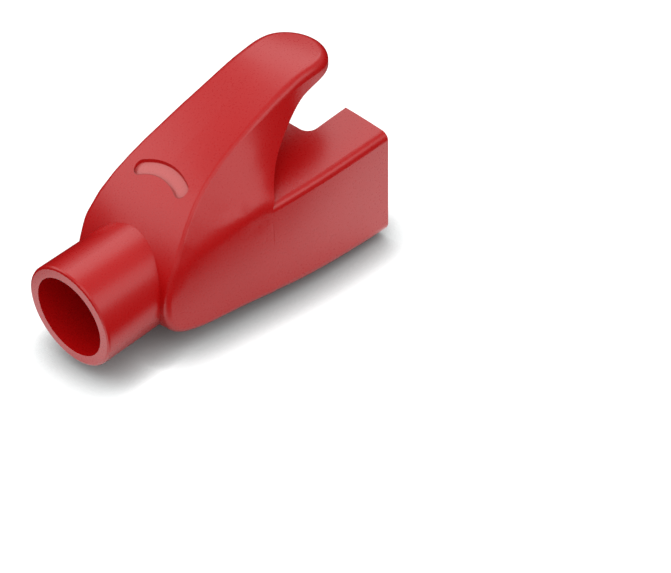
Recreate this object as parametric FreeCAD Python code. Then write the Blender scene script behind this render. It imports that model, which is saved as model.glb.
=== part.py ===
"""RJ45 strain relief boot: one moulded piece in soft PVC.

Lengths are in millimetres. +X points out of the plug mouth, +Z points from
the plain back to the latch side, and Y runs across. The boot lies on its
back: the origin is the middle of its footprint, on the surface below it.
Stations are distances from the mouth plane back towards the cable, and
heights are measured from the cable axis.
"""
import FreeCAD
import Part
import math
import os

# overall
LENGTH = 26.84          # mouth plane to the end of the cable sleeve
AXIS_HEIGHT = 5.10      # cable axis above the lowest line of the back
CROWN_RADIUS = 55.0     # the back and the latch face are slightly domed

# cable sleeve and the bore through it
SLEEVE_RADIUS = 4.21
SLEEVE_ROOT = 5.0       # how far it reaches into the body
BORE_RADIUS = 3.31
RIM_ROUND = 0.20
RIM_BEVEL = 0.06        # inset of the rim's middle corner

# side outline in the middle plane: station and height
HOOK_TOP = [
    (-1.5, 10.60), (3.4, 11.10), (8.0, 10.27), (13.0, 8.72), (17.2, 6.70), (19.81, 4.31), (21.41, 1.64)]
SHOULDER = (21.84, -0.80)
BACK_LINE = [
    (21.05, -2.80), (19.4, -3.62), (15.0, -4.13), (10.5, -4.57), (5.0, -4.88), (0.0, -5.10), (-5.0, -5.26)]
HOOK_UNDER = [(-1.5, 9.74), (3.1, 9.70), (5.6, 9.00), (8.5, 7.30), (10.8, 5.80), (11.75, 4.80)]
LATCH_LINE = [(11.75, 4.80), (6.0, 5.28), (0.0, 5.55), (-1.5, 5.58)]
ROOT = HOOK_UNDER[-1]   # where the hook leaves the latch face

# half widths by station: the body, and the top edge of the hook
BODY_HALF = [(0.0, 7.42), (4.0, 7.27), (8.0, 6.95), (12.0, 6.38), (16.0, 5.72), (20.0, 5.13), (24.0, 4.65)]
TIP_RADIUS = 3.12
CREST_HALF = [
    (3.0, 3.12), (6.5, 3.03), (9.0, 2.97), (12.0, 3.05), (15.0, 3.40), (18.0, 4.00), (21.0, 4.90), (24.0, 5.80)]
# sideways lean of the flanks below that edge, and how softly they roll into the walls
LEAN = [
    (3.0, 0.0), (4.5, 0.04), (6.5, 0.24), (9.0, 0.45), (11.75, 0.76), (14.5, 0.74), (18.0, 0.62), (24.0, 0.5)]
ROLL = [(3.0, 0.25), (11.75, 0.25), (14.0, 0.40), (18.0, 0.75), (24.0, 0.75)]

# edge rounds: radius at the rear and at the front end
CREST_ROUND = (0.5, 0.8)
LATCH_ROUND = (0.55, 0.70)
BACK_ROUND_REAR = (0.5, 0.9)
BACK_ROUND_FRONT = (1.0, 1.0)

# plug pocket and the funnel from it to the bore
POCKET_HALF = 5.90      # RJ45 plug body 11.68 wide, plus clearance
POCKET_FLOOR = -2.68
POCKET_ROOF = 4.27
POCKET_DEPTH = 9.0
POCKET_END_HALF = 5.75
POCKET_END_ROOF = 3.72
POCKET_CORNER = 0.9
STOP_LEDGE = 0.15       # all round, where the funnel begins and the plug stops
FUNNEL_MOUTH_RADIUS = 6.51
FUNNEL_END = 18.5
THROAT_GAP = 0.1        # keeps the funnel's flat sides off the bore
OVERLAP = 0.5           # how far a hollow starts inside the one before it
LEAD_IN_HEIGHT = 1.07
LEAD_IN_DEPTH = 0.25

# notch in the latch face, open at the mouth
NOTCH_HALF = 3.07
NOTCH_DEPTH = 4.22
NOTCH_CORNER = 0.9
NOTCH_LOW = 2.5         # it reaches down into the pocket
NOTCH_HIGH = 6.5        # and up past the latch face

# moulded grip marks, one on the hook root and one on the back
MARK_WIDTH = 1.07
MARK_HALF_ANGLE = 28.0
HOOK_MARK = (16.27, 4.5)    # station of its middle, radius of its middle line
HOOK_MARK_DEPTH = 0.30
HOOK_MARK_LOW = 3.0         # a height below its floor
BACK_MARK = (17.60, 5.5)
BACK_MARK_DEPTH = 0.28
BACK_MARK_HIGH = -2.0       # a height above its floor

# working limits outside the boot
DEEP = -12.0            # below everything
CEILING = 13.5          # above everything
AHEAD = -1.0            # in front of the mouth
BEYOND = 24.0           # past the shoulder
BEYOND_HEIGHT = -5.0    # where the line of the hook would get to there
WELD = 0.001            # gap that still counts as touching where two forms meet

# rows and sections the curved sides are drawn through
TIP_STEPS = 4
SIDE_STEPS = 16
SIDE_LEVELS = [-6.0 + 0.7 * step for step in range(27)]
SKIN_ROWS = (-9.0, -4.5, 0.0, 4.5, 9.0)

# the crown of the latch face turns about an axis this high
LATCH_AXIS = AXIS_HEIGHT + LATCH_LINE[2][1] - CROWN_RADIUS
CROWN_HALF_TURN = 14.0


def point(station, y, height):
    """A point given by station, Y and height over the cable axis."""
    return FreeCAD.Vector(LENGTH / 2 - station, y, AXIS_HEIGHT + height)


def side_point(pair):
    return point(pair[0], 0, pair[1])


def spline(points):
    curve = Part.BSplineCurve()
    curve.interpolate(points)
    return curve.toShape()


def side_curve(outline):
    return spline([side_point(pair) for pair in outline])


def run_lengths(points):
    """Distance along a chain of points, up to each of them."""
    lengths = [0.0]
    for start, end in zip(points, points[1:]):
        lengths.append(lengths[-1] + start.distanceToPoint(end))
    return lengths


def paced_spline(points, pace, ways=None):
    """A spline that reaches its points at a given pace, so that a family of them lofts smoothly."""
    curve = Part.BSplineCurve()
    if ways:
        curve.interpolate(
            Points=points, Parameters=pace, InitialTangent=ways[0], FinalTangent=ways[1], Scale=False)
    else:
        curve.interpolate(Points=points, Parameters=pace)
    return curve


def law(table):
    """A smooth value along the boot, read off a spline through the table."""
    curve = Part.BSplineCurve()
    curve.interpolate([FreeCAD.Vector(station, value, 0) for station, value in table])
    first, last = table[0], table[-1]

    def value(station):
        if station <= first[0]:
            return first[1]
        if station >= last[0]:
            return last[1]
        plane = Part.Plane(FreeCAD.Vector(station, 0, 0), FreeCAD.Vector(1, 0, 0))
        return curve.intersect(plane)[0][0].Y

    return value


def domed(profile):
    """Turn a side profile a little to both sides about a far lengthwise axis."""
    axis = FreeCAD.Vector(0, 0, LATCH_AXIS)
    along = FreeCAD.Vector(1, 0, 0)
    start = profile.copy()
    start.rotate(axis, along, -CROWN_HALF_TURN)
    return start.revolve(axis, along, 2 * CROWN_HALF_TURN)


def soft_min(a, b, width):
    """The smaller of two values, with a smooth turn of about that width between them."""
    return (a + b - math.hypot(a - b, width / 2)) / 2


def side_row(height, laws):
    """Points along one side of the boot at one height, from the middle of the tip back."""
    body_half, crest_half, crest_height, lean, roll = laws
    row = []
    for step in range(TIP_STEPS):
        turn = math.pi / 2 * step / TIP_STEPS
        row.append(point(TIP_RADIUS * (1 - math.cos(turn)), TIP_RADIUS * math.sin(turn), height))
    for step in range(SIDE_STEPS + 1):
        station = TIP_RADIUS + (BEYOND - TIP_RADIUS) * step / SIDE_STEPS
        drop = crest_height(station) - height
        if drop < 0:
            drop = drop / (1 - drop)
        flank = crest_half(station) + lean(station) * drop
        row.append(point(station, soft_min(body_half(station), flank, roll(station)), height))
    return row


def side_block():
    """One half of a tall block: its outer side is the wall below and the hook's flank above."""
    laws = (
        law(BODY_HALF),
        law(CREST_HALF),
        law(HOOK_TOP[1:] + [(BEYOND, BEYOND_HEIGHT)]),
        law(LEAN),
        law(ROLL),
    )
    pace = run_lengths(side_row(0, laws))
    sections = []
    for level in SIDE_LEVELS:
        row = side_row(level, laws)
        tip, end = (point(station, 0, level) for station in (0, BEYOND))
        edges = [paced_spline(row, pace).toShape(), Part.makeLine(row[-1], end), Part.makeLine(end, tip)]
        sections.append(Part.Wire(edges))
    return Part.makeLoft(sections, True, False)


def skin_curve(outline, ways, y):
    """The side outline at some distance from the middle, drawn in by the crown."""
    points = [side_point(pair) for pair in outline]
    pace = run_lengths(points)
    curve = paced_spline(points, pace, ways)
    sag = y * y / (2 * CROWN_RADIUS)
    moved = []
    for spot, length in zip(points, pace):
        way = curve.tangent(length)[0]
        moved.append(spot + FreeCAD.Vector(-way.z * sag, y, way.x * sag))
    return paced_spline(moved, pace, ways).toShape()


def crowned_block():
    """The bulk of the boot in side view: hook top, shoulder and back, all slightly crowned."""
    upper = HOOK_TOP + [SHOULDER]
    lower = [SHOULDER] + BACK_LINE
    down = FreeCAD.Vector(0, 0, -1)
    top_ways = ((side_point(upper[1]) - side_point(upper[0])).normalize(), down)
    back_ways = (down, (side_point(lower[-1]) - side_point(lower[-2])).normalize())
    sections = []
    for y in SKIN_ROWS:
        top = skin_curve(upper, top_ways, y)
        back = skin_curve(lower, back_ways, y)
        front = Part.makeLine(back.Vertexes[-1].Point, top.Vertexes[0].Point)
        sections.append(Part.Wire([top, back, front]))
    return Part.makeLoft(sections, True, False)


def closed_face(*edges):
    return Part.Face(Part.Wire(Part.__sortEdges__(list(edges))))


def drop_line(pair, height):
    """An upright line from a point of the side outline to a height."""
    return Part.makeLine(side_point(pair), point(pair[0], 0, height))


def under_hook():
    """All that is cut away below the hook and ahead of its root."""
    ahead = HOOK_UNDER[0]
    profile = closed_face(
        side_curve(HOOK_UNDER),
        drop_line(ROOT, DEEP),
        Part.makeLine(point(ROOT[0], 0, DEEP), point(ahead[0], 0, DEEP)),
        drop_line(ahead, DEEP),
    )
    return domed(profile)


def front_side():
    """The box-shaped front in side view, from the root of the hook to the mouth."""
    ahead = LATCH_LINE[-1]
    profile = closed_face(
        side_curve(LATCH_LINE),
        drop_line(ahead, DEEP),
        Part.makeLine(point(ahead[0], 0, DEEP), point(ROOT[0], 0, DEEP)),
        drop_line(ROOT, DEEP),
    )
    return domed(profile)


def front_block():
    """Half of the front's outline from above, as a tall block."""
    wall = [point(station, half, DEEP) for station, half in BODY_HALF]
    middle_line = [point(station, 0, DEEP) for station in (BODY_HALF[0][0], BODY_HALF[-1][0])]
    face = closed_face(
        spline(wall),
        Part.makeLine(wall[0], middle_line[0]),
        Part.makeLine(middle_line[0], middle_line[1]),
        Part.makeLine(middle_line[1], wall[-1]),
    )
    return face.extrude(FreeCAD.Vector(0, 0, CEILING - DEEP))


def rounded(shape, rounds):
    """Round each edge that a test picks, with a radius at its rear and at its front end."""
    document = FreeCAD.newDocument("rounds")
    base = document.addObject("Part::Feature", "base")
    base.Shape = shape
    fillet = document.addObject("Part::Fillet", "fillet")
    fillet.Base = base
    picked = []
    for number, edge in enumerate(shape.Edges, 1):
        for test, rear_radius, front_radius in rounds:
            if test(edge):
                forward = edge.Vertexes[0].X < edge.Vertexes[-1].X
                radii = (rear_radius, front_radius) if forward else (front_radius, rear_radius)
                picked.append((number,) + radii)
    fillet.Edges = picked
    document.recompute()
    result = fillet.Shape.copy()
    FreeCAD.closeDocument(document.Name)
    return result


def middle(edge):
    return edge.valueAt((edge.FirstParameter + edge.LastParameter) / 2)


def is_crest(edge):
    """The edge between the hook's top and its side, from the tip to the shoulder."""
    return edge.Length > 25 and middle(edge).y > 1


def is_rear_back_edge(edge):
    spot = middle(edge)
    return edge.Length > 8 and spot.z < AXIS_HEIGHT - 3 and spot.y > 4


def is_front_back_edge(edge):
    return is_rear_back_edge(edge) and is_lengthwise(edge)


def is_latch_edge(edge):
    spot = middle(edge)
    return spot.z > AXIS_HEIGHT + 3 and spot.y > 6 and is_lengthwise(edge)


def is_lengthwise(edge):
    return abs(edge.Vertexes[0].X - edge.Vertexes[-1].X) > 8


def rear():
    """One half of the hook, its root and the shoulder, as one form with its edges rounded."""
    form = crowned_block().common(side_block()).cut(under_hook())
    return rounded(form, [(is_crest, *CREST_ROUND), (is_rear_back_edge, *BACK_ROUND_REAR)])


def front():
    """One half of the box-shaped front, with rounded long edges."""
    form = crowned_block().common(front_side()).common(front_block())
    return rounded(form, [(is_latch_edge, *LATCH_ROUND), (is_front_back_edge, *BACK_ROUND_FRONT)])


def whole(half):
    """The half and its mirror image, as one solid."""
    return half.fuse(half.mirror(FreeCAD.Vector(0, 0, 0), FreeCAD.Vector(0, 1, 0)))


def sleeve():
    """The round sleeve that the cable leaves through; two small bevels soften its rim."""
    start = point(SHOULDER[0] - SLEEVE_ROOT, 0, 0)
    root = start + FreeCAD.Vector(0, 0, SLEEVE_RADIUS)
    rim_start = point(LENGTH - RIM_ROUND, 0, SLEEVE_RADIUS)
    rim_middle = point(LENGTH - RIM_BEVEL, 0, SLEEVE_RADIUS - RIM_BEVEL)
    rim_end = point(LENGTH, 0, SLEEVE_RADIUS - RIM_ROUND)
    end = point(LENGTH, 0, 0)
    profile = closed_face(
        Part.makeLine(start, root),
        Part.makeLine(root, rim_start),
        Part.makeLine(rim_start, rim_middle),
        Part.makeLine(rim_middle, rim_end),
        Part.makeLine(rim_end, end),
        Part.makeLine(end, start),
    )
    return profile.revolve(start, FreeCAD.Vector(1, 0, 0), 360)


def drafted_box(near, far):
    """A box between two stations, its long edges rounded.

    Each end is given by its station, half width, floor and roof.
    """
    near_station, near_half, near_floor, near_roof = near
    far_station, far_half, far_floor, far_roof = far
    depth = far_station - near_station
    box = Part.makeWedge(
        -near_half, 0, near_floor, far_floor, -far_half,
        near_half, depth, near_roof, far_roof, far_half)
    box.rotate(FreeCAD.Vector(0, 0, 0), FreeCAD.Vector(0, 0, 1), 90)
    box.translate(point(near_station, 0, 0))
    long_edges = [edge for edge in box.Edges if abs(edge.Vertexes[0].X - edge.Vertexes[1].X) > depth / 2]
    return box.makeFillet(POCKET_CORNER, long_edges)


def pocket():
    """Room for the plug: its walls close in a little with depth."""
    mouth = (AHEAD, POCKET_HALF, POCKET_FLOOR, POCKET_ROOF)
    end = (POCKET_DEPTH, POCKET_END_HALF, POCKET_FLOOR, POCKET_END_ROOF)
    return drafted_box(mouth, end)


def funnel():
    """Behind a small stop ledge a cone narrows the pocket to the cable bore."""
    start = POCKET_DEPTH - OVERLAP
    half = POCKET_END_HALF - STOP_LEDGE
    throat = BORE_RADIUS + THROAT_GAP
    box = drafted_box(
        (start, half, POCKET_FLOOR + STOP_LEDGE, POCKET_END_ROOF - STOP_LEDGE),
        (FUNNEL_END, half, -throat, throat))
    cone = Part.makeCone(
        FUNNEL_MOUTH_RADIUS, BORE_RADIUS, FUNNEL_END - start, point(start, 0, 0), FreeCAD.Vector(-1, 0, 0))
    return box.common(cone)


def bore():
    """The cable's way out through the sleeve."""
    start = FUNNEL_END - OVERLAP
    return Part.makeCylinder(
        BORE_RADIUS, LENGTH + OVERLAP - start, point(start, 0, 0), FreeCAD.Vector(-1, 0, 0))


def notch():
    """The cut in the latch side that lets the plug's catch come out."""
    height = NOTCH_HIGH - NOTCH_LOW
    block = Part.makeBox(
        NOTCH_DEPTH - AHEAD, 2 * NOTCH_HALF, height, point(NOTCH_DEPTH, -NOTCH_HALF, NOTCH_LOW))
    back_plane = point(NOTCH_DEPTH, 0, 0).x
    corners = [
        edge for edge in block.Edges
        if abs(middle(edge).x - back_plane) < WELD and abs(edge.Length - height) < WELD
    ]
    return block.makeFillet(NOTCH_CORNER, corners)


def lead_in():
    """The slanted inner edge of the back wall at the mouth."""
    half = POCKET_HALF - POCKET_CORNER
    slope = LEAD_IN_HEIGHT / LEAD_IN_DEPTH
    corners = [
        point(AHEAD, -half, POCKET_FLOOR - LEAD_IN_HEIGHT + AHEAD * slope),
        point(LEAD_IN_DEPTH, -half, POCKET_FLOOR),
        point(LEAD_IN_DEPTH, -half, 0),
        point(AHEAD, -half, 0),
    ]
    face = Part.Face(Part.makePolygon(corners + corners[:1]))
    return face.extrude(FreeCAD.Vector(0, 2 * half, 0))


def mark_band(station, radius, low, high):
    """A curved band with round ends, as an upright prism; its middle points to the mouth."""
    centre = point(station + radius, 0, low)

    def on_arc(arc_radius, degrees):
        angle = math.radians(degrees)
        return centre + FreeCAD.Vector(arc_radius * math.cos(angle), arc_radius * math.sin(angle), 0)

    reach = MARK_HALF_ANGLE
    outer = radius + MARK_WIDTH / 2
    inner = radius - MARK_WIDTH / 2
    cap = reach + math.degrees(MARK_WIDTH / 2 / radius)
    edges = [
        Part.Arc(on_arc(outer, -reach), on_arc(outer, 0), on_arc(outer, reach)).toShape(),
        Part.Arc(on_arc(outer, reach), on_arc(radius, cap), on_arc(inner, reach)).toShape(),
        Part.Arc(on_arc(inner, reach), on_arc(inner, 0), on_arc(inner, -reach)).toShape(),
        Part.Arc(on_arc(inner, -reach), on_arc(radius, -cap), on_arc(outer, -reach)).toShape(),
    ]
    return closed_face(*edges).extrude(FreeCAD.Vector(0, 0, high - low))


def hook_mark():
    """Shallow grip mark on the hook root; its floor runs level with the surface round it."""
    floor = crowned_block()
    floor.translate(FreeCAD.Vector(0, 0, -HOOK_MARK_DEPTH))
    return mark_band(*HOOK_MARK, HOOK_MARK_LOW, CEILING).cut(floor)


def back_mark():
    """The same mark on the back."""
    floor = crowned_block()
    floor.translate(FreeCAD.Vector(0, 0, BACK_MARK_DEPTH))
    return mark_band(*BACK_MARK, DEEP, BACK_MARK_HIGH).cut(floor)


def boot():
    half = rear().fuse([front()], WELD)
    body = whole(half).fuse(sleeve())
    for hollow in (pocket(), funnel(), bore(), notch(), lead_in(), hook_mark(), back_mark()):
        body = body.cut(hollow)
    return body


if __name__ == "__main__":
    os.makedirs("parts", exist_ok=True)
    solid = boot()
    solid.exportStep("parts/boot.step")
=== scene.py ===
# %% [markdown]
# # A strain relief boot for a patch cord, in red soft PVC
#
# The boot is one moulded piece: a box-shaped mouth that grips the plug, a round
# sleeve that the cable leaves through, and a hook that arches back over the
# plug's catch so that nothing snags it. Its form comes from the solid model.
# This lesson dresses that form: the plastic, the table, the room, the lamps
# and the camera.

import math

import bpy
from mathutils import Matrix, Quaternion, Vector

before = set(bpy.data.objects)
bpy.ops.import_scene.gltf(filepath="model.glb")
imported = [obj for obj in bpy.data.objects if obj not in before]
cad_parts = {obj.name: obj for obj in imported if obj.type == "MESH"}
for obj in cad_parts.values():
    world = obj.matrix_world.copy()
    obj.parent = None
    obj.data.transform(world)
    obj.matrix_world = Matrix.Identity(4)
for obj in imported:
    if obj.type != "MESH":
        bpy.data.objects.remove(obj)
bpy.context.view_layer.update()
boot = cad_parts["boot"]

# %% [markdown]
# Blender's own unit is the metre, and this boot is 27 mm long. Sizes of grain
# and marks read better in millimetres, so one value turns them into metres.
# Colours are written as the hex values a paint chart would give. Blender mixes
# light in linear values, so a helper turns one into the other.

# %% Millimetres and colours
MM = 0.001


def linear(hex_colour):
    """An sRGB hex colour as the linear RGBA value that a node socket takes."""
    channels = [int(hex_colour[i:i + 2], 16) / 255 for i in (1, 3, 5)]
    return [
        c / 12.92 if c <= 0.04045 else ((c + 0.055) / 1.055) ** 2.4
        for c in channels
    ] + [1.0]


WHITE = linear("#FFFFFF")
print("mid grey #808080 is", round(linear("#808080")[0], 3), "in linear light")

# %% [markdown]
# A material is a small network of nodes. One helper adds a node, sets its
# fields and inputs, and links what comes from another node, so that each
# material below reads as a list of what it is made of. The shorter helpers
# after it make the nodes that come up again and again, and hand back the one
# socket that matters.

# %% Helpers that add nodes


def add(tree, kind, inputs=None, **fields):
    """Add a node; inputs are values, or sockets of other nodes, by name or number."""
    node = tree.nodes.new(kind)
    for name, value in fields.items():
        setattr(node, name, value)
    for key, value in (inputs or {}).items():
        if isinstance(value, bpy.types.NodeSocket):
            tree.links.new(value, node.inputs[key])
        else:
            node.inputs[key].default_value = value
    return node


def maths(tree, operation, one, other=0.0):
    """One calculation with one or two numbers."""
    return add(tree, "ShaderNodeMath", {0: one, 1: other}, operation=operation).outputs[0]


def ramp(tree, value, start, end, low=0.0, high=1.0):
    """Goes evenly from low to high while the value goes from start to end."""
    return add(tree, "ShaderNodeMapRange", {
        "Value": value, "From Min": start, "From Max": end,
        "To Min": low, "To Max": high}).outputs["Result"]


def noise(tree, place, size, detail):
    """Soft random values from 0 to 1, in blotches of about this size."""
    return add(tree, "ShaderNodeTexNoise", {
        "Vector": place, "Scale": 1 / size, "Detail": detail}).outputs["Fac"]


def blend(tree, share, first, second):
    """A colour that goes from the first to the second as the share goes from 0 to 1.

    The Mix node has inputs for numbers, vectors and colours: its colours are
    inputs 6 and 7, and output 2.
    """
    return add(tree, "ShaderNodeMix", {
        0: share, 6: first, 7: second}, data_type="RGBA").outputs[2]


def new_material(name):
    """An empty node material and its output node."""
    material = bpy.data.materials.new(name)
    material.use_nodes = True
    material.node_tree.nodes.clear()
    return material, add(material.node_tree, "ShaderNodeOutputMaterial")


print("node helpers:", [helper.__name__ for helper in (add, maths, ramp, noise, blend)])

# %% [markdown]
# ## Soft PVC, injection moulded
#
# The boot is plasticised PVC with red pigment. The pigment is a trace uneven,
# in soft clouds that the flowing plastic leaves. The steel mould was spark
# eroded, which covers the skin with a grain of tiny pits, and the skin shrank
# into slow waves as it cooled.
#
# An image of the grain could be wrapped round the boot, but it would have to be
# fitted to its faces and would show seams. Noise in the boot's own space has no
# seams, and its blotches can be given their real size.

# %% The pigment and the three sizes of noise
PIGMENT_DEEP, PIGMENT_BRIGHT = "#B60506", "#C00709"
CLOUD = 5.0 * MM            # clouds of pigment
WAVE = 2.4 * MM             # slow waves of the skin
GRAIN = 0.16 * MM           # pits of the spark-eroded mould

pvc, pvc_out = new_material("red_pvc_spark_eroded")
plastic = pvc.node_tree
place = add(plastic, "ShaderNodeTexCoord").outputs["Object"]
spot = add(plastic, "ShaderNodeSeparateXYZ", {"Vector": place})
clouds = noise(plastic, place, CLOUD, detail=3.0)
waves = noise(plastic, place, WAVE, detail=1.0)
grain = noise(plastic, place, GRAIN, detail=2.0)
pigment = blend(plastic, clouds, linear(PIGMENT_DEEP), linear(PIGMENT_BRIGHT))
print("pigment in linear light:", [round(c, 3) for c in linear(PIGMENT_DEEP)[:3]])

# %% [markdown]
# Two grip marks are cut in the solid, one on the hook's root and one on the
# back. Their floors are painted paler than the rest, a painted sheen, and a thin
# dark line of painted shade lies in the inner corner. A second material on their
# faces could do that. A mask is used here instead, because its edge can be soft
# and no faces have to be picked.
#
# Each mark is a band of even width, bent round a centre. So a point belongs to
# it when it lies near the band's middle line. Past the band's last angle the
# nearest point of that line stays at its end, which rounds the ends off. A
# limit in height keeps the colour off the inner walls, which lie on the other
# side of it.

# %% Where the grip marks are
MARK_HALF = 0.535 * MM              # half the width of a mark
MARK_EDGE = 0.05 * MM               # the strip in which its paler floor ends
MARK_HALF_ANGLE = math.radians(28)  # how far it bends to either side
# the painted shade in a mark's inner corner is full, and gone, at these distances from its wall
CORNER_SHADE_FULL, CORNER_SHADE_GONE = 0.02 * MM, 0.07 * MM     # distance from the mark's wall
HOOK_MARK = {
    "centre_x": -7.35 * MM, "radius": 4.5 * MM, "side": "GREATER_THAN", "height": 10.0 * MM}
BACK_MARK = {
    "centre_x": -9.68 * MM, "radius": 5.5 * MM, "side": "LESS_THAN", "height": 1.69 * MM}


def mark_masks(centre_x, radius, side, height):
    """Two masks of one mark: 1 on its floor (painted sheen), 1 in its inner corner (painted
    shade).
    """
    along = maths(plastic, "SUBTRACT", spot.outputs["X"], centre_x)
    across = maths(plastic, "ABSOLUTE", spot.outputs["Y"])
    here = add(plastic, "ShaderNodeCombineXYZ", {"X": along, "Y": across}).outputs[0]

    turn = maths(plastic, "MINIMUM", maths(plastic, "ARCTAN2", across, along), MARK_HALF_ANGLE)
    middle = add(plastic, "ShaderNodeCombineXYZ", {
        "X": maths(plastic, "MULTIPLY", maths(plastic, "COSINE", turn), radius),
        "Y": maths(plastic, "MULTIPLY", maths(plastic, "SINE", turn), radius)}).outputs[0]
    off = add(plastic, "ShaderNodeVectorMath", {0: here, 1: middle},
              operation="DISTANCE").outputs["Value"]
    outer_skin = maths(plastic, side, spot.outputs["Z"], height)
    inside = ramp(plastic, off, MARK_HALF - MARK_EDGE, MARK_HALF, 1.0, 0.0)

    # painted shade: a thin dark line along the mark's wall, on the inner side only
    from_wall = maths(plastic, "ABSOLUTE", maths(plastic, "SUBTRACT", off, MARK_HALF))
    line = ramp(plastic, from_wall, CORNER_SHADE_FULL, CORNER_SHADE_GONE, 1.0, 0.0)
    out = add(plastic, "ShaderNodeVectorMath", {0: here}, operation="LENGTH").outputs["Value"]
    inner_corner_shade = maths(plastic, "MULTIPLY", line, maths(plastic, "LESS_THAN", out, radius))
    return [maths(plastic, "MULTIPLY", mask, outer_skin) for mask in (inside, inner_corner_shade)]


hook_floor_sheen, hook_corner_shade = mark_masks(**HOOK_MARK)
back_floor_sheen, back_corner_shade = mark_masks(**BACK_MARK)
painted_floor_sheen = maths(plastic, "ADD", hook_floor_sheen, back_floor_sheen)
painted_corner_shade = maths(plastic, "ADD", hook_corner_shade, back_corner_shade)
print("grip marks are", round(2 * MARK_HALF / MM, 2), "mm wide")

# %% [markdown]
# PVC reflects about as window glass does, with an index of refraction near
# 1.54. The grain breaks reflections up, so the plastic looks satin: broad soft
# sheens and no mirror image. The pits are finer than a render can draw in
# full, so part of them is relief and the rest is roughness.

# %% The finished plastic
# a painted sheen on the marks' floors, and painted shade in their inner corners
MARK_FLOOR_SHEEN, MARK_CORNER_SHADE = "#CB5A58", "#980A0B"
PVC_IOR = 1.54
SMOOTHEST, ROUGHEST = 0.24, 0.33
WAVE_DEPTH, WAVE_STRENGTH = 0.02 * MM, 0.25
GRAIN_DEPTH, GRAIN_STRENGTH = 0.012 * MM, 0.45

# painted sheen: the marks' floors are coloured paler
colour = blend(plastic, painted_floor_sheen, pigment, linear(MARK_FLOOR_SHEEN))
# painted shade in the marks' inner corners
colour = blend(plastic, painted_corner_shade, colour, linear(MARK_CORNER_SHADE))
wavy = add(plastic, "ShaderNodeBump", {
    "Height": waves, "Strength": WAVE_STRENGTH, "Distance": WAVE_DEPTH})
pitted = add(plastic, "ShaderNodeBump", {
    "Height": grain, "Strength": GRAIN_STRENGTH, "Distance": GRAIN_DEPTH,
    "Normal": wavy.outputs["Normal"]})
skin = add(plastic, "ShaderNodeBsdfPrincipled", {
    "Base Color": colour,
    "Roughness": ramp(plastic, grain, 0.0, 1.0, SMOOTHEST, ROUGHEST),
    "IOR": PVC_IOR,
    "Normal": pitted.outputs["Normal"],
})
plastic.links.new(skin.outputs["BSDF"], pvc_out.inputs["Surface"])

boot.data.materials.clear()
boot.data.materials.append(pvc)
print("material on the boot:", boot.data.materials[0].name)

# %% [markdown]
# ## The table
#
# The boot lies on a plain white sweep, as small goods do in a catalogue. The
# sheet is a dull white. A faint blue-green cast in it cancels the red that the
# boot throws on it, so that the shadow stays neutral.

# %% The sheet
FLOOR_HALF = 1.5            # m

corners = [(x * FLOOR_HALF, y * FLOOR_HALF, 0) for x, y in ((-1, -1), (1, -1), (1, 1), (-1, 1))]
sheet = bpy.data.meshes.new("floor")
sheet.from_pydata(corners, [], [(0, 1, 2, 3)])
floor = bpy.data.objects.new("floor", sheet)
bpy.context.collection.objects.link(floor)

paper, paper_out = new_material("white_paper_sweep")
card = paper.node_tree
ray = add(card, "ShaderNodeLightPath")
table_place = add(card, "ShaderNodeTexCoord").outputs["Object"]
table_spot = add(card, "ShaderNodeSeparateXYZ", {"Vector": table_place})
print("floor is", 2 * FLOOR_HALF, "m wide")

# %% [markdown]
# More lamp light would make the sheet white, but it would also wash out the
# plastic. So the sheet glows, and only for two kinds of rays, which adds no
# light to the boot's own colour. For the camera the glow makes the sheet white
# all round. Close to the boot the glow is held back, which paints a shadow there
# over the lamps' real shadow on the dull sheet. Ambient occlusion says how: it
# measures how much of the air above a point is open within reach.

# %% The glow that the camera sees
SHADOW_REACH = 3.2 * MM
SHADOW_POWER = 3.0          # above 1, it deepens the shadow next to the boot
GLOW_SEEN = 0.92
OPEN_SAMPLES = 8

close_by = add(card, "ShaderNodeAmbientOcclusion", {"Distance": SHADOW_REACH},
               samples=OPEN_SAMPLES)
# painted shadow: the glow darkens where little air is open near the boot
seen = maths(card, "POWER", close_by.outputs["AO"], SHADOW_POWER)
seen = maths(card, "MULTIPLY", seen, GLOW_SEEN)
seen = maths(card, "MULTIPLY", seen, ray.outputs["Is Camera Ray"])
print("glow for the camera", GLOW_SEEN, "and less within", round(SHADOW_REACH / MM, 1), "mm")

# %% [markdown]
# The other kind of ray is a reflection in the plastic. There the sheet is
# brighter than white, as a table under big lamps is, and goes dark under the
# boot. Beside the rear of the boot it is dimmed, so that the side wall grows
# lighter towards the mouth.

# %% The glow that the plastic mirrors
GLOW_MIRRORED = 1.25
UNDER_REACH = 9 * MM
UNDER_DARK, UNDER_LIT = 0.40, 0.75      # share of open air: dark, and fully lit
DIM_MOST = 0.45                         # what is taken off beside the rear
DIM_REAR, DIM_MOUTH = -8 * MM, 12 * MM  # along the boot: most, and none
DIM_NEAR, DIM_FAR = -2 * MM, -10 * MM   # out to the side: none, and most

open_air = add(card, "ShaderNodeAmbientOcclusion", {"Distance": UNDER_REACH},
               samples=OPEN_SAMPLES)
lit_share = ramp(card, open_air.outputs["AO"], UNDER_DARK, UNDER_LIT)
rear_dim = ramp(card, table_spot.outputs["X"], DIM_REAR, DIM_MOUTH, DIM_MOST, 0.0)
side_dim = ramp(card, table_spot.outputs["Y"], DIM_NEAR, DIM_FAR)
kept = maths(card, "SUBTRACT", 1.0, maths(card, "MULTIPLY", rear_dim, side_dim))
mirrored = maths(card, "MULTIPLY", lit_share, kept)
mirrored = maths(card, "MULTIPLY", mirrored, GLOW_MIRRORED)
mirrored = maths(card, "MULTIPLY", mirrored, ray.outputs["Is Glossy Ray"])
print("glow in reflections", GLOW_MIRRORED, "and beside the rear",
      round(GLOW_MIRRORED * (1 - DIM_MOST), 2))

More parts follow.
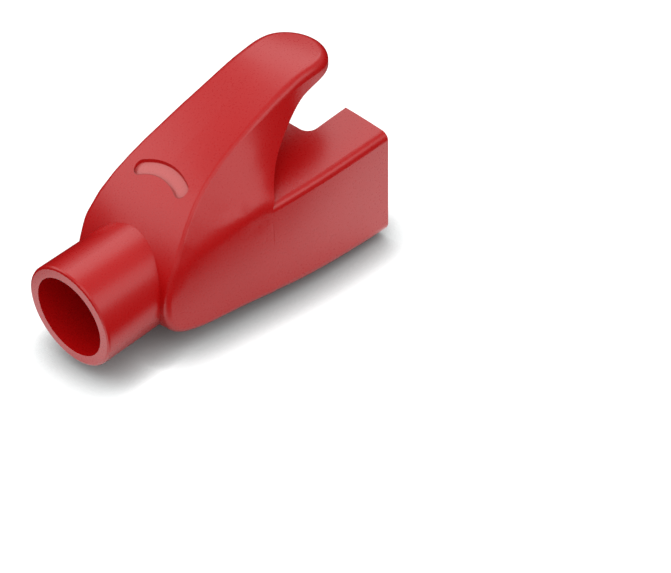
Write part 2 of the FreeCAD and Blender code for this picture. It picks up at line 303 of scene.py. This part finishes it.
# %% [markdown]
# In reflections the table is small. It ends little more than a centimetre from
# the boot's middle on either side, and about three centimetres away lengthwise.
# Past its edges the plastic mirrors near black, which draws the dark lines along
# its rounded sides. The camera still sees the whole sheet.

# %% The edges of the table in reflections
TABLE_EDGES = (             # direction, and where the table starts to fade and has gone
    ((-0.3, -1, 0), 11 * MM, 15 * MM),
    ((0, 1, 0), 9 * MM, 12 * MM),
    ((-1, 0, 0), 26 * MM, 34 * MM),
    ((1, 0, 0), 26 * MM, 34 * MM),
)
PAST_THE_EDGE = 0.01        # strength of what lies beyond
DULL_WHITE = "#9DA3A3"

past = 0.0
for direction, start, end in TABLE_EDGES:
    that_way = add(card, "ShaderNodeVectorMath", {0: table_place, 1: direction},
                   operation="DOT_PRODUCT").outputs["Value"]
    past = maths(card, "MAXIMUM", past, ramp(card, that_way, start, end))
hidden = maths(card, "MULTIPLY", past, ray.outputs["Is Glossy Ray"])

dull = add(card, "ShaderNodeBsdfDiffuse", {"Color": linear(DULL_WHITE)})
glow = add(card, "ShaderNodeEmission", {"Strength": maths(card, "ADD", seen, mirrored)})
lit = add(card, "ShaderNodeAddShader", {0: dull.outputs[0], 1: glow.outputs[0]})
dark = add(card, "ShaderNodeEmission", {"Strength": PAST_THE_EDGE})
both = add(card, "ShaderNodeMixShader", {0: hidden, 1: lit.outputs[0], 2: dark.outputs[0]})
card.links.new(both.outputs[0], paper_out.inputs["Surface"])
sheet.materials.append(paper)
print("the table has", len(TABLE_EDGES), "edges in reflections")

# %% [markdown]
# ## The room
#
# The room has three strengths, one for each kind of ray. The camera sees it
# white. The plastic mirrors it dark at table height and grey higher up. And the
# light that it spreads over everything is strongest near the horizon, with some
# more from the camera's side. One even grey would be simpler, but it would fill
# the dark lines along the edges and flatten the form.

# %% The room
MIRROR_LOW, MIRROR_HIGH = (0.15, 0.03), (0.50, 0.48)    # height of a direction, strength
SPREAD_LOW, SPREAD_HIGH = (0.0, 0.80), (0.8, 0.34)
FILL_WAY, FILL_MOST = (-0.54, -0.60, 0.59), 0.40
SEEN_WHITE = 1.0

world = bpy.data.worlds.new("room")
bpy.context.scene.world = world
world.use_nodes = True
room = world.node_tree
room.nodes.clear()
room_ray = add(room, "ShaderNodeLightPath")
way = add(room, "ShaderNodeTexCoord").outputs["Generated"]
way_up = add(room, "ShaderNodeSeparateXYZ", {"Vector": way}).outputs["Z"]


def climb(low, high):
    """A strength that goes from the low pair to the high one as directions rise."""
    return ramp(room, way_up, low[0], high[0], low[1], high[1])


towards_fill = add(room, "ShaderNodeVectorMath", {0: way, 1: FILL_WAY},
                   operation="DOT_PRODUCT").outputs["Value"]
fill = ramp(room, towards_fill, 0.0, 1.0, 0.0, FILL_MOST)
spread = maths(room, "ADD", climb(SPREAD_LOW, SPREAD_HIGH), fill)
in_mirror, on_dull, for_camera = [
    add(room, "ShaderNodeBackground", {"Color": WHITE, "Strength": strength}).outputs[0]
    for strength in (climb(MIRROR_LOW, MIRROR_HIGH), spread, SEEN_WHITE)]
unseen = add(room, "ShaderNodeMixShader", {
    0: room_ray.outputs["Is Glossy Ray"], 1: on_dull, 2: in_mirror}).outputs[0]
either = add(room, "ShaderNodeMixShader", {
    0: room_ray.outputs["Is Camera Ray"], 1: unseen, 2: for_camera}).outputs[0]
add(room, "ShaderNodeOutputWorld", {"Surface": either})
print("mirrored room goes from", MIRROR_LOW[1], "to", MIRROR_HIGH[1])

# %% [markdown]
# By default Blender also aims rays at the room and at glowing surfaces, and
# takes their strength for one kind of ray. Here the strength depends on the
# kind, so the aimed rays would bring the wrong light. With the aim switched
# off, every ray finds its own strength where it lands.

# %% No aimed rays at the room or the sheet
world.cycles.sampling_method = "NONE"
paper.cycles.emission_sampling = "NONE"
print("aimed rays:", world.cycles.sampling_method, paper.cycles.emission_sampling)

# %% [markdown]
# ## The lamps
#
# Four softboxes light the boot. As the camera sees them, one stands to the right
# and lights the flank and the side wall. One behind to the left lights the
# hook's back, and one behind to the right catches what faces up. A weak one
# high in front softens the rest. Flat lamps of a real size give broad sheens
# with a soft edge, where a point lamp would leave hard spots.

# %% The softboxes
LAMP_DISTANCE = 0.50        # m


def softbox(name, turn, rise, width, height, brightness, lean=0):
    """A flat lamp that faces the boot.

    Turn and rise, in degrees, say where it stands as seen from the boot: turn
    counts anticlockwise from the mouth's side. Width and height are in degrees
    too, and brightness is that of its face. Lean turns it on its stand.
    """
    turn, rise = math.radians(turn), math.radians(rise)
    stand = LAMP_DISTANCE * Vector((
        math.cos(rise) * math.cos(turn), math.cos(rise) * math.sin(turn), math.sin(rise)))
    data = bpy.data.lights.new(name, "AREA")
    data.shape = "RECTANGLE"
    data.size = 2 * LAMP_DISTANCE * math.tan(math.radians(width / 2))
    data.size_y = 2 * LAMP_DISTANCE * math.tan(math.radians(height / 2))
    data.energy = brightness * math.pi * data.size * data.size_y
    lamp = bpy.data.objects.new(name, data)
    bpy.context.collection.objects.link(lamp)
    lamp.location = stand
    facing = (-stand).to_track_quat("-Z", "Y")
    lamp.rotation_euler = (facing @ Quaternion((0, 0, 1), math.radians(lean))).to_euler()
    print(name, "is", round(data.size, 2), "by", round(data.size_y, 2), "m,",
          round(data.energy, 2), "W")


softbox("softbox_right", turn=-76, rise=34, width=48, height=31, brightness=1.27, lean=12)
softbox("softbox_rear_left", turn=119, rise=40, width=54, height=36, brightness=1.35)
softbox("softbox_rear_right", turn=36, rise=47, width=36, height=34, brightness=1.55, lean=18)
softbox("softbox_front", turn=-130, rise=67, width=44, height=34, brightness=0.85)

# %% [markdown]
# ## The camera
#
# A long lens from some 17 cm away looks down on the sleeve end and one side, so
# that the hook, its grip mark, the open sleeve and the notch in the latch side
# all show. It aims past the boot, which then sits high and to the left in the
# view. Its place follows from the point it aims at, two angles and a distance,
# so that each of them can be changed by itself. A slight roll tips the view.

# %% Camera
LENS, SENSOR = 117.99, 36.0             # mm
AIM = Vector((4.49, -9.91, 2.00)) * MM  # the point that the middle of the view falls on
DISTANCE = 167.00 * MM
TURN, RISE, ROLL = math.radians(-47.02), math.radians(40.99), math.radians(-1.215)

ahead = Vector((
    -math.sin(TURN) * math.cos(RISE), math.cos(TURN) * math.cos(RISE), -math.sin(RISE)))
level = ahead.cross(Vector((0, 0, 1))).normalized()
upward = level.cross(ahead)
right = level * math.cos(ROLL) + upward * math.sin(ROLL)
top = right.cross(ahead)

camera_data = bpy.data.cameras.new("camera")
camera_data.lens = LENS
camera_data.sensor_width = SENSOR
camera_data.clip_start, camera_data.clip_end = 0.01, 10.0     # m
camera = bpy.data.objects.new("camera", camera_data)
bpy.context.collection.objects.link(camera)
aimed = Matrix((right, top, -ahead)).transposed().to_4x4()
camera.matrix_world = Matrix.Translation(AIM - ahead * DISTANCE) @ aimed
bpy.context.scene.camera = camera
print("camera at", [round(v / MM, 2) for v in camera.location], "mm")

# %% [markdown]
# ## Finish
#
# Colours are shown as they are, with no film look.

# %% Finish
bpy.context.scene.view_settings.view_transform = "Standard"
